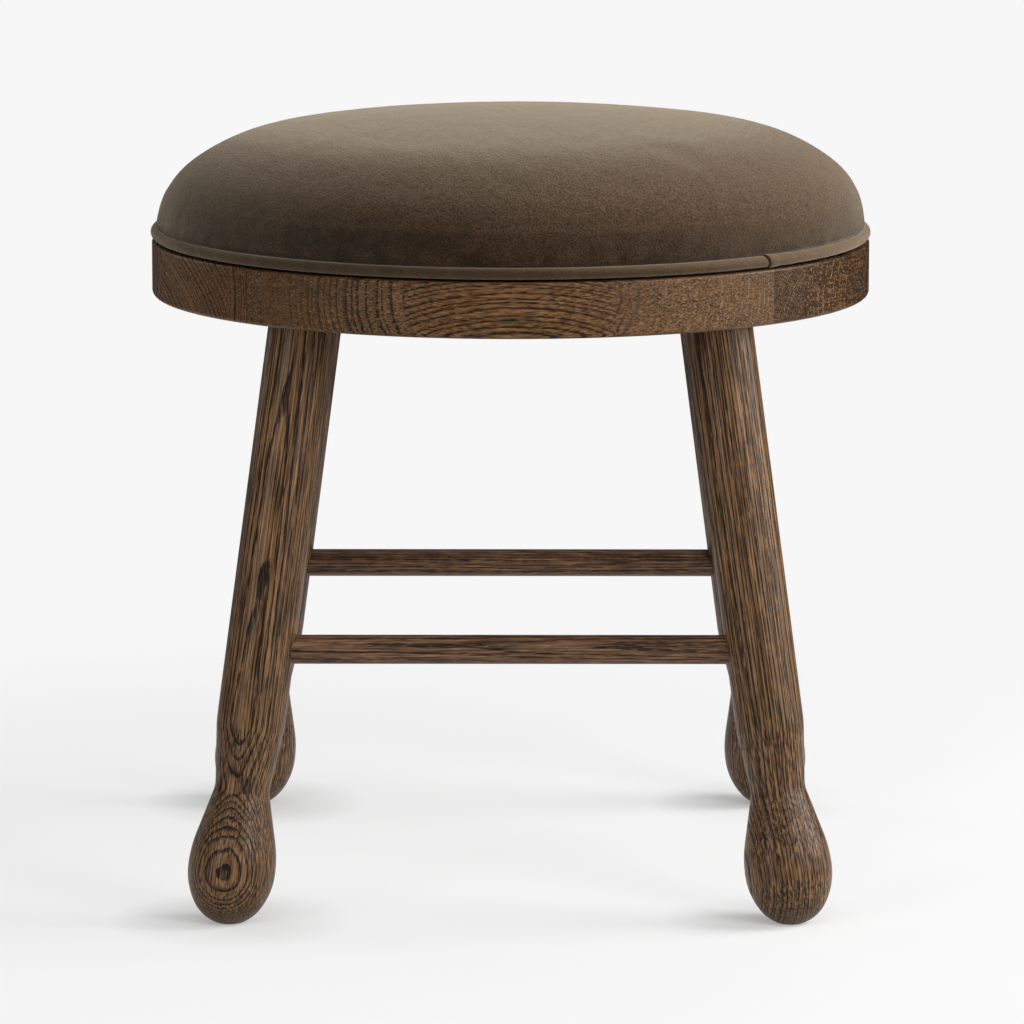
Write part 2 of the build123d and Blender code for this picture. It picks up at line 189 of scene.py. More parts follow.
@dataclass(frozen=True)
class StainedOak(Finish):
    """Oak, turned or sawn, stained brown and waxed.

    Stain gathers in the open pores of early wood, so the eye sees dark broken lines along the growth rings:
    straight on a quarter-sawn face, arched on a flat-sawn one, and rows of dots with pale rays where a curve
    cuts across the grain. The rings are cylinders round the log's pith, cut by the piece's own shape.
    """

    boards: tuple[Board, ...] = ()
    facing: float = 0.0
    ring_width: float = 2.2
    season_span: float = 7.0
    season_shift: float = 2.2
    wander: float = 5.0
    sway_width: float = 38.0
    sway_length: float = 210.0
    pore_width: float = 0.8
    pore_length: float = 6.0
    pore_edge: float = 0.12
    early_pores: float = 0.58
    late_pores: float = 0.22
    fibre_width: float = 0.85
    fibre_length: float = 12.0
    fibre_tone: float = 0.7
    fibre_show: float = 1.8
    stain_show: float = 0.6
    ray_radius: float = 90.0
    ray_pitch: float = 1.1
    ray_length: float = 8.0
    ray_show: float = 0.4
    # Pale pores, partly wax and partly painted highlight, and how much the highlight leans to one side
    wax: float = 0.0
    wax_lean: float = 0.3
    gloss: float = 0.22
    late_wood: str = "#604527"
    early_wood: str = "#20140a"
    ray: str = "#76573a"
    pore: str = "#0b0604"
    pore_wax: str = "#96806a"
    joints: bool = False

    def wire(self, add: Adder) -> Node:
        """Wire growth rings, pores, fibre and rays.

        Args:
            add: Adds a node to the empty tree.

        Returns:
            The shader.
        """
        where = add("TexCoord").outputs["Object"]
        place, turn, growth = self.boards[0].pose().decompose()
        pose = {"Vector": self.lay_boards(add, where), "Location": place, "Rotation": turn.to_euler()}
        size = growth.x * MM
        sways, pores = (self.sway_width, self.sway_length), (self.pore_width, self.pore_length)
        cells = ((1.0, 1.0), sways, pores, (self.fibre_width, self.fibre_length))
        log, slow, tubes, strands = (
            add("Mapping", {**pose, "Scale": (wide * size, wide * size, long * size)}, **TEXTURE)
            for wide, long in cells
        )

        # Years of growth, a little uneven, that sway along the log
        sway = add("TexNoise", {"Vector": slow, "Scale": 1.0, "Detail": 4.0, "Roughness": 0.55})
        spread = Vector((self.wander, self.wander, 0.0))
        shift = add("VectorMath", [sway.outputs["Color"], spread, spread / -2], operation="MULTIPLY_ADD")
        bent = add("VectorMath", [log, shift], operation="ADD")
        level = add("VectorMath", [bent, (1.0, 1.0, 0.0)], operation="MULTIPLY")
        radius = add("VectorMath", [level], operation="LENGTH")
        weather = {"W": radius, "Scale": 1 / self.season_span, "Detail": 2.0}
        seasons = add("TexNoise", weather, noise_dimensions="1D")
        even = add("Math", [radius, 1 / self.ring_width], operation="MULTIPLY")
        years = add("Math", [seasons, self.season_shift, even], operation="MULTIPLY_ADD")
        year = add("Math", [years], operation="FRACT")
        spring = add("MapRange", [year, 0.05, 0.45, 1.0, 0.0], **SMOOTH)
        onset = add("MapRange", [year, 0.9, 1.0], **SMOOTH)
        early = add("Math", [spring, onset], operation="MAXIMUM")

        # Pores of early wood are about 0.3 mm wide, drawn at 0.6 mm or more so that they show
        hollows = add("TexVoronoi", {"Vector": tubes, "Scale": 1.0})
        more = self.early_pores - self.late_pores
        rim = add("Math", [early, more, self.late_pores], operation="MULTIPLY_ADD")
        core = add("Math", [rim, self.pore_edge], operation="SUBTRACT")
        pore = add("MapRange", [hollows, rim, core, 0.0, 0.92], **SMOOTH)

        # Fibre is drawn 0.7 mm wide or more, with broader bands where the stain took more or less
        fibre = add("TexNoise", {"Vector": strands, "Scale": 1.0, "Detail": 1.0})
        stain = add("TexNoise", {"Vector": slow, "Scale": 1.7, "Detail": 2.0})
        dim, light = self.fibre_tone - self.fibre_show / 2, self.fibre_tone + self.fibre_show / 2
        streak = add("MapRange", [fibre, 0.3, 0.7, dim, light])
        tone = add("Math", [stain, self.stain_show, streak], operation="MULTIPLY_ADD")

        # Rays run out from the pith: flecks on a quarter-sawn face, fine dashes elsewhere
        parts = add("SeparateXYZ", [bent]).outputs
        bearing = add("Math", [parts[1], parts[0]], operation="ARCTAN2")
        fan = add("CombineXYZ", {"X": bearing, "Y": radius, "Z": parts[2]})
        spacing = (self.ray_radius / self.ray_pitch, 1 / self.ray_length, 1 / self.ray_length)
        sheets = add("VectorMath", [fan, spacing], operation="MULTIPLY")
        flecks = add("TexNoise", {"Vector": sheets, "Scale": 1.0, "Detail": 1.0})
        ray = add("MapRange", [flecks, 0.46, 0.64, 0.0, self.ray_show], **SMOOTH)

        # Across the grain the wood drinks more stain, evenly, and the open ends of its pores hold pale wax,
        # partly drawn as a painted highlight
        normal = add("TexCoord").outputs["Normal"]
        along = add("VectorMath", [normal, self.boards[0].grain], operation="DOT_PRODUCT")
        lean = add("Math", [along], operation="ABSOLUTE")
        # The pale pores are partly a painted highlight, stronger where the face turns along the grain than
        # where it turns against it
        glint_facing = add("Math", [along, self.wax_lean, lean], operation="MULTIPLY_ADD")
        waxed = add("MapRange", [glint_facing, 0.25, 0.6, 0.0, self.wax], **SMOOTH)
        unglinted = add("Math", [1.0, waxed], operation="SUBTRACT")
        dark = add("Math", [early, unglinted], operation="MULTIPLY")
        wood = add("Mix", {0: dark, A: self.late_wood, B: self.early_wood}, **RGBA)
        flecked = add("Mix", {0: ray, A: wood, B: self.ray}, **RGBA)
        toned = add("VectorMath", {0: flecked, "Scale": tone}, operation="SCALE")
        drink = add("MapRange", [lean, 0.0, 0.7, 1.0, 0.72])
        steeped = add("VectorMath", {0: toned, "Scale": drink}, operation="SCALE")
        filled = add("Mix", {0: waxed, A: self.pore, B: self.pore_wax}, **RGBA)
        grained = add("Mix", {0: pore, A: steeped, B: filled}, **RGBA)
        joint = self.find_joints(add, where) if self.joints else 0.0
        colour = add("Mix", {0: joint, A: grained, B: self.pore}, **RGBA)
        rough = add("MapRange", [pore, 0.0, 1.0, 0.4, 0.7])
        bump = add("Bump", {"Strength": 0.35, "Distance": 0.25 * MM, "Height": pore}, invert=True)
        surface = {"Base Color": colour, "Roughness": rough, "Normal": bump}
        return add("BsdfPrincipled", {**surface, "IOR": 1.5, "Specular IOR Level": self.gloss})

    def lay_boards(self, add: Adder, where: NodeSocket) -> NodeSocket | Node:
        """Lay each board behind a glue line in a log of its own.

        Args:
            add: Adds a node to the finish's tree.
            where: Object coordinates.

        Returns:
            Coordinates that jump at the glue lines.
        """
        laid = where
        for before, board in zip(self.boards, self.boards[1:]):
            place, turn, growth = (self.boards[0].pose() @ board.pose().inverted()).decompose()
            log = {"Vector": where, "Location": place, "Rotation": turn.to_euler(), "Scale": growth}
            moved = add("Mapping", log)
            depth = add("VectorMath", [where, outward(self.facing)], operation="DOT_PRODUCT")
            behind = add("Math", [depth, before.edge * MM], operation="LESS_THAN")
            laid = add("Mix", {0: behind, VECTOR_A: laid, VECTOR_B: moved}, data_type="VECTOR")
        return laid

    def find_joints(self, add: Adder, where: NodeSocket) -> Node:
        """Find the glue lines on the diagonals, where the apron's segments butt.

        Args:
            add: Adds a node to the finish's tree.
            where: Object coordinates.

        Returns:
            How much of the wood's colour the glue line takes.
        """
        sides = add("VectorMath", [where], operation="ABSOLUTE")
        parts = add("SeparateXYZ", [sides]).outputs
        off = add("Math", [parts[0], parts[1]], operation="SUBTRACT")
        gap = add("Math", [off], operation="ABSOLUTE")
        # A glue line is about 0.1 mm wide, drawn at 0.5 mm so that it shows
        return add("MapRange", [gap, 0.2 * MM, 0.7 * MM, 0.6, 0.0])


@dataclass(frozen=True)
class CottonVelvet(Finish):
    """Cotton velvet, woven with a short upright pile and sheared.

    Where it faces the eye, the cloth is a deep brown between its tufts, and where it turns away their lit
    sides glow. Handling leaves patches of leaning pile. Faces turned up and to the right take a lighter
    colour, which is painted light on the crown and the right flank.
    """

    pile: str = "#1c130c"
    leaning: str = "#2e2117"
    # Painted light: a lighter colour for faces turned up and to the right, and the tilt that picks them
    painted_lit_colour: str = "#463526"
    glow: str = "#cbbda8"
    painted_light_tilt: Triple = (0.28, 0.0, 0.96)
    tuft: float = 1.0
    tuft_show: float = 0.5
    tuft_height: float = 0.3
    patch: float = 10.0
    patch_show: float = 1.3
    patch_swell: float = 0.9
    drift: float = 60.0

    def wire(self, add: Adder) -> Node:
        """Wire tufts, brushed patches and the glow of the pile.

        Args:
            add: Adds a node to the empty tree.

        Returns:
            The shader.
        """
        where = add("TexCoord").outputs["Object"]
        # Tufts and patches run longer along the nap, from front to back
        brushed = add("Mapping", {"Vector": where, "Scale": (1.0, 0.3, 1.0)})
        # Tufts are about 0.3 mm apart, drawn at 1 mm so that they show
        layers = ((brushed, self.tuft, 0.5), (brushed, self.patch, 1.0), (where, self.drift, 2.0))
        tufts, patches, drifts = (
            add("TexNoise", {"Vector": at, "Scale": 1 / (size * MM), "Detail": fine})
            for at, size, fine in layers
        )
        lying = add("Math", [patches, self.patch_show, drifts], operation="MULTIPLY_ADD")
        lean = add("MapRange", [lying, 0.85, 1.45])
        cloth = add("Mix", {0: lean, A: self.pile, B: self.leaning}, **RGBA)
        # Painted light: faces turned up and a little to the right take a lighter colour
        normal = add("TexCoord").outputs["Normal"]
        toward_painted_light = add("VectorMath", [normal, self.painted_light_tilt], operation="DOT_PRODUCT")
        crown = add("MapRange", [toward_painted_light, 0.12, 0.95, 0.0, 0.9], **SMOOTH)
        cloth = add("Mix", {0: crown, A: cloth, B: self.painted_lit_colour}, **RGBA)
        shade = add("MapRange", [tufts, 0.3, 0.7, 1.0 - self.tuft_show, 1.0 + self.tuft_show])
        colour = add("VectorMath", {0: cloth, "Scale": shade}, operation="SCALE")
        # Heights are in millimetres, and a patch tilts the light as much as a swell of that height would
        swell = add("Math", [patches, self.patch_swell], operation="MULTIPLY")
        height = add("Math", [tufts, self.tuft_height, swell], operation="MULTIPLY_ADD")
        bump = add("Bump", {"Strength": 1.0, "Distance": 1.0 * MM, "Height": height})
        surface = {"Base Color": colour, "Roughness": 0.95, "Normal": bump, "IOR": 1.5}
        sheen = {"Sheen Weight": 0.55, "Sheen Roughness": 0.5, "Sheen Tint": self.glow}
        return add("BsdfPrincipled", {**surface, **sheen, "Specular IOR Level": 0.02})


@dataclass(frozen=True)
class RawBeech(Finish):
    """Beech, sawn and left raw: pale pinkish brown with short dark ray flecks."""

    wood: str = "#c39a6e"
    band: str = "#b0855a"
    fleck: str = "#8e6540"
    band_size: Triple = (60.0, 60.0, 4.0)
    fleck_size: Triple = (3.0, 3.0, 0.8)

    def wire(self, add: Adder) -> Node:
        """Wire bands of growth and ray flecks.

        Args:
            add: Adds a node to the empty tree.

        Returns:
            The shader.
        """
        where = add("TexCoord").outputs["Object"]
        across, along = (tuple(side * MM for side in size) for size in (self.band_size, self.fleck_size))
        slow = add("Mapping", {"Vector": where, "Scale": across}, **TEXTURE)
        bands = add("TexNoise", {"Vector": slow, "Scale": 1.0, "Detail": 3.0})
        rays = add("Mapping", {"Vector": where, "Scale": along}, **TEXTURE)
        cells = add("TexVoronoi", {"Vector": rays, "Scale": 1.0})
        fleck = add("MapRange", [cells, 0.3, 0.12, 0.0, 0.7])
        wood = add("Mix", {0: bands, A: self.wood, B: self.band}, **RGBA)
        colour = add("Mix", {0: fleck, A: wood, B: self.fleck}, **RGBA)
        bump = add("Bump", {"Strength": 0.2, "Distance": 0.2 * MM, "Height": bands})
        return add("BsdfPrincipled", {"Base Color": colour, "Roughness": 0.62, "Normal": bump, "IOR": 1.5})


@dataclass(frozen=True)
class BirchPlywood(Finish):
    """Birch plywood, sawn: pale veneers, each other one seen across its grain and darker."""

    veneer: str = "#d2b48a"
    cross: str = "#b8925f"
    layer: float = 1.5
    fibre_size: Triple = (80.0, 2.0, 2.0)

    def wire(self, add: Adder) -> Node:
        """Wire layers and grain.

        Args:
            add: Adds a node to the empty tree.

        Returns:
            The shader.
        """
        where = add("TexCoord").outputs["Object"]
        height = add("SeparateXYZ", [where]).outputs[2]
        layers = add("Math", [height, 2 * self.layer * MM], operation="PINGPONG")
        which = add("MapRange", [layers, 0.9 * self.layer * MM, 1.1 * self.layer * MM])
        size = tuple(side * MM for side in self.fibre_size)
        strands = add("Mapping", {"Vector": where, "Scale": size}, **TEXTURE)
        fibre = add("TexNoise", {"Vector": strands, "Scale": 1.0, "Detail": 3.0})
        tone = add("Math", [fibre, 0.4, 0.8], operation="MULTIPLY_ADD")
        wood = add("Mix", {0: which, A: self.veneer, B: self.cross}, **RGBA)
        colour = add("VectorMath", {0: wood, "Scale": tone}, operation="SCALE")
        return add("BsdfPrincipled", {"Base Color": colour, "Roughness": 0.65, "IOR": 1.5})


@dataclass(frozen=True)
class ZincSteel(Finish):
    """Zinc-plated steel: bluish grey, bright, clouded by handling."""

    zinc: str = "#a9adb2"
    dull: str = "#83878c"
    cloud: float = 2.0

    def wire(self, add: Adder) -> Node:
        """Wire clouded plating.

        Args:
            add: Adds a node to the empty tree.

        Returns:
            The shader.
        """
        where = add("TexCoord").outputs["Object"]
        clouds = add("TexNoise", {"Vector": where, "Scale": 1 / (self.cloud * MM), "Detail": 3.0})
        colour = add("Mix", {0: clouds, A: self.zinc, B: self.dull}, **RGBA)
        rough = add("MapRange", [clouds, 0.0, 1.0, 0.22, 0.48])
        return add("BsdfPrincipled", {"Base Color": colour, "Roughness": rough, "Metallic": 1.0})


@dataclass(frozen=True)
class NonWovenCloth(Finish):
    """Spun-bonded polypropylene cloth: matt black with a grid of small pressed dimples."""

    fibre: str = "#1d1c1b"
    dimple: str = "#0e0e0d"
    pitch: float = 2.2
    fuzz: float = 0.7

    def wire(self, add: Adder) -> Node:
        """Wire fibres and pressed dimples.

        Args:
            add: Adds a node to the empty tree.

        Returns:
            The shader.
        """
        where = add("TexCoord").outputs["Object"]
        grid = add("TexVoronoi", {"Vector": where, "Scale": 1 / (self.pitch * MM), "Randomness": 0.0})
        press = add("MapRange", [grid, 0.42, 0.28], **SMOOTH)
        fuzz = add("TexNoise", {"Vector": where, "Scale": 1 / (self.fuzz * MM), "Detail": 3.0})
        tone = add("Math", [fuzz, 0.8, 0.6], operation="MULTIPLY_ADD")
        cloth = add("Mix", {0: press, A: self.fibre, B: self.dimple}, **RGBA)
        colour = add("VectorMath", {0: cloth, "Scale": tone}, operation="SCALE")
        bump = add("Bump", {"Strength": 0.6, "Distance": 0.15 * MM, "Height": press}, invert=True)
        return add("BsdfPrincipled", {"Base Color": colour, "Roughness": 0.85, "Normal": bump})


@dataclass(frozen=True)
class PaperSweep(Finish):
    """Pale studio paper under the stool: even for the eye, but it keeps the soft shadow and bounces light."""

    lit_paper: str = "#e7e7e7"
    even: float = 0.7
    even_by_foot: float = 0.3
    foot_place: float = 170.0
    foot_reach: float = 120.0
    shadow_reach: float = 420.0
    fade_out: float = 900.0
    sweep_edge: float = 1300.0
    dim_floor: float = 0.05

    def wire(self, add: Adder) -> Node:
        """Wire a lit paper that evens out away from the stool and can be seen through from below.

        Args:
            add: Adds a node to the empty tree.

        Returns:
            The shader.
        """
        where = add("TexCoord").outputs["Object"]
        away = add("VectorMath", [where], operation="LENGTH")
        even = add("MapRange", [away, self.shadow_reach * MM, self.fade_out * MM, self.even], **SMOOTH)
        # Close to each foot more of the real shadow shows
        quarter = add("VectorMath", [where], operation="ABSOLUTE")
        foot = (self.foot_place * MM, self.foot_place * MM, 0.0)
        stride = add("VectorMath", [quarter, foot], operation="DISTANCE")
        near, far = 0.2 * self.foot_reach * MM, self.foot_reach * MM
        beside = add("MapRange", [stride, near, far, self.even_by_foot], **SMOOTH)
        even = add("Math", [even, beside], operation="MINIMUM")
        camera, seen = tell_rays(add)
        share = add("Math", [seen, even], operation="MULTIPLY")
        lit = add("BsdfDiffuse", {"Color": self.lit_paper})
        # In reflections the paper ends where the sweep does, and the studio's dim floor goes on
        near, far = 0.5 * self.sweep_edge * MM, self.sweep_edge * MM
        mirrored = add("MapRange", [away, near, far, 1.0, self.dim_floor])
        bright = add("Math", [camera, mirrored], operation="MAXIMUM")
        plain = add("Emission", {"Color": BACKDROP, "Strength": bright})
        top = add("MixShader", [share, lit, plain])
        side = add("NewGeometry").outputs["Backfacing"]
        return add("MixShader", [side, top, add("BsdfTransparent")])


def dress_node(name: str, finish: Finish) -> None:
    """Give a CAD node a finish in place of its plain one.

    Args:
        name: Name of the node.
        finish: Finish that it takes.
    """
    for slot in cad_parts[name].material_slots:
        slot.material = finish.material()
    LOG.info("%s dressed with %s", name, finish.name)


def make_piece(name: str, bm: BMesh, finish: Finish) -> Object:
    """Turn a bmesh into a piece of the stool that rides on its frame.

    Args:
        name: Name of the piece.
        bm: Its mesh in place, which is freed.
        finish: Its finish.

    Returns:
        The new object.
    """
    mesh = bpy.data.meshes.new(name)
    bm.to_mesh(mesh)
    bm.free()
    mesh.shade_smooth()
    mesh.set_sharp_from_angle(angle=radians(SHARP_ANGLE))
    mesh.materials.append(finish.material())
    piece = bpy.data.objects.new(name, mesh)
    bpy.context.scene.collection.objects.link(piece)
    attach(piece, "root")
    LOG.info("%s made with %d faces", name, len(mesh.polygons))
    return piece


def turn_round(bm: BMesh, steps: int) -> None:
    """Spin an outline in the XZ plane into a closed round shape with outward faces.

    Args:
        bm: Mesh that holds the outline alone.
        steps: Number of steps round the axis.
    """
    outline, full = bm.verts[:] + bm.edges[:], 2 * pi
    bmesh.ops.spin(bm, geom=outline, cent=(0, 0, 0), axis=(0, 0, 1), angle=full, steps=steps, use_merge=True)
    bmesh.ops.remove_doubles(bm, verts=bm.verts[:], dist=0.002 * MM)
    bmesh.ops.recalc_face_normals(bm, faces=bm.faces[:])


def walk(bm: BMesh, end: BMVert, stops: Sequence[tuple[float, float]]) -> BMVert:
    """Draw straight runs of an outline in the XZ plane.

    Args:
        bm: Mesh that holds the outline.
        end: Vertex where the outline ends so far.
        stops: Radius and height of each further point.

    Returns:
        The vertex where the outline now ends.
    """
    for radius, height in stops:
        end = bmesh.ops.extrude_vert_indiv(bm, verts=[end])["verts"][0]
        end.co = Vector((radius * MM, 0, height * MM))
    return end


def sweep(bm: BMesh, end: BMVert, centre: tuple[float, float], turn: float, steps: int) -> BMVert:
    """Draw an arc of an outline in the XZ plane, turning from the crown towards the side.

    Args:
        bm: Mesh that holds the outline.
        end: Vertex where the outline ends so far.
        centre: Radius and height of the arc's centre.
        turn: Angle of the arc in degrees.
        steps: Number of steps along it.

    Returns:
        The vertex where the outline now ends.
    """
    middle, angle = (centre[0] * MM, 0, centre[1] * MM), radians(turn)
    spun = bmesh.ops.spin(
        bm, geom=[end], cent=middle, axis=(0, 1, 0), angle=angle, steps=steps, use_merge=False
    )
    return next(part for part in spun["geom_last"] if isinstance(part, BMVert))


@dataclass
class OakFrame:
    """Apron of four oak segments on four turned legs, with a stretcher between each pair of legs."""

    apron_radius: float = 225.0
    apron_middle: float = 383.0
    leg_splay: float = 10.6
    bulb_reach: float = 240.25
    bulb_height: float = 32.47
    stretcher_side: float = 152.28
    stretcher_height: float = 165.5

    def apron_oak(self) -> tuple[StainedOak, ...]:
        """Lay each apron segment in its boards, from the outer one inwards.

        Returns:
            Oak for the front, the back, the left and the right.
        """
        out, middle = self.apron_radius, self.apron_middle
        sawn = partial(
            StainedOak, wander=3.5, pore_width=1.1, pore_length=8.0, ray_show=0.3, fibre_width=0.7,
            fibre_show=1.5, gloss=0.2, joints=True,
        )
        arched = partial(sawn, wax=0.5, pore_wax="#927860", late_wood="#5b3f23", early_wood="#342010")
        front = (
            Board((-8.0, -out - 52.0, middle - 46.0), (1.0, 0.0, 0.02), edge=out - 9.0),
            Board((0.0, -out - 110.0, middle + 8.0), (1.0, 0.03, 0.02)),
        )
        back = (
            Board((30.0, out + 60.0, middle - 40.0), (1.0, 0.02, 0.0), edge=out - 14.0),
            Board((0.0, out + 90.0, middle - 14.0), (1.0, -0.03, 0.02)),
        )
        left = (
            Board((-out - 60.0, 0.0, middle + 4.0), (0.02, 1.0, 0.02), edge=out - 9.0),
            Board((-out - 50.0, 0.0, middle - 56.0), (0.02, 1.0, -0.02), 0.95, edge=out - 54.0),
            Board((-out - 120.0, 0.0, middle - 6.0), (0.03, 1.0, -0.02)),
        )
        right = (
            Board((out + 100.0, 0.0, middle - 14.0), (0.0, -1.0, 0.03), 1.2, edge=out - 47.0),
            Board((out + 20.0, 0.0, middle - 46.0), (0.05, -1.0, 0.0), 0.7),
        )
        # Painted highlight in the pale pores: most on the right segment, where the lamps fall, least on the
        # left
        return (
            arched("stained_oak_apron_front", front, 270.0),
            arched("stained_oak_apron_back", back, 90.0),
            sawn("stained_oak_apron_left", left, 180.0, wax=0.1, late_wood="#66472a", early_wood="#1a0e06"),
            sawn(
                "stained_oak_apron_right", right, 0.0, late_pores=0.14, wax=0.55, pore_wax="#8f683b",
                late_wood="#37220e", early_wood="#150a04",
            ),
        )

    def leg_oak(
        self, corner: Corner, facing: float, depth: float, cant: float, ring_width: float
    ) -> StainedOak:
        """Lay a leg in its log.

        Args:
            corner: Corner that the leg stands at.
            facing: Azimuth that the bark side of the log faces.
            depth: Distance from the pith to the leg's axis.
            cant: Slope of the grain against the leg, in degrees, towards that azimuth.
            ring_width: Width of a year's growth.

        Returns:
            Oak whose rings run through the leg that way.
        """
        splay, out = radians(self.leg_splay), outward(corner.value)
        up = Vector((0.0, 0.0, cos(splay))) - out * sin(splay)
        bark = outward(facing)
        bark = (bark - up * bark.dot(up)).normalized()
        bulb = out * self.bulb_reach + Vector((0.0, 0.0, self.bulb_height))
        grain = (up + bark * tan(radians(cant))).normalized()
        return StainedOak(
            f"stained_oak_leg_{corner.name.lower()}", (Board(tuple(bulb - bark * depth), tuple(grain)),),
            ring_width=ring_width, ray_radius=depth, pore_width=0.7, pore_length=14.0, fibre_length=36.0,
            late_wood="#60462d",
        )

    def dress(self) -> None:
        """Give every oak piece its own cut of stained oak."""
        legs = (
            self.leg_oak(Corner.FRONT_LEFT, facing=258.0, depth=62.0, cant=0.5, ring_width=1.4),
            self.leg_oak(Corner.FRONT_RIGHT, facing=186.0, depth=74.0, cant=0.8, ring_width=2.2),
            self.leg_oak(Corner.BACK_LEFT, facing=40.0, depth=70.0, cant=1.0, ring_width=2.0),
            self.leg_oak(Corner.BACK_RIGHT, facing=120.0, depth=66.0, cant=-1.0, ring_width=2.1),
        )
        side, height = self.stretcher_side, self.stretcher_height
        front = Board((0.0, -side + 40.0, height - 18.0), (1.0, 0.015, 0.01))
        back = Board((0.0, side + 20.0, height + 42.0), (1.0, -0.02, 0.012))
        turned = partial(
            StainedOak, pore_width=0.6, pore_length=12.0, ray_radius=45.0, fibre_length=30.0, fibre_show=1.3,
            gloss=0.2, late_wood="#5b4231", early_wood="#3a2a1e",
        )
        rods = turned("stained_oak_stretcher_front", (front,)), turned("stained_oak_stretcher_back", (back,))
        for oak in (*self.apron_oak(), *legs, *rods):
            dress_node(oak.name.removeprefix("stained_oak_"), oak)


@dataclass
class Joinery:
    """Beech blocks, dowels and wedges inside the apron, with their screws."""

    def dress(self) -> None:
        """Give the hidden woodwork raw beech and the screws zinc plating."""
        beech = RawBeech("raw_beech")
        blocks = [f"corner_block_{corner.name.lower()}" for corner in Corner]
        for name in (*blocks, "apron_dowels", "leg_wedges"):
            dress_node(name, beech)
        dress_node("corner_block_screws", ZincSteel("zinc_plated_steel"))


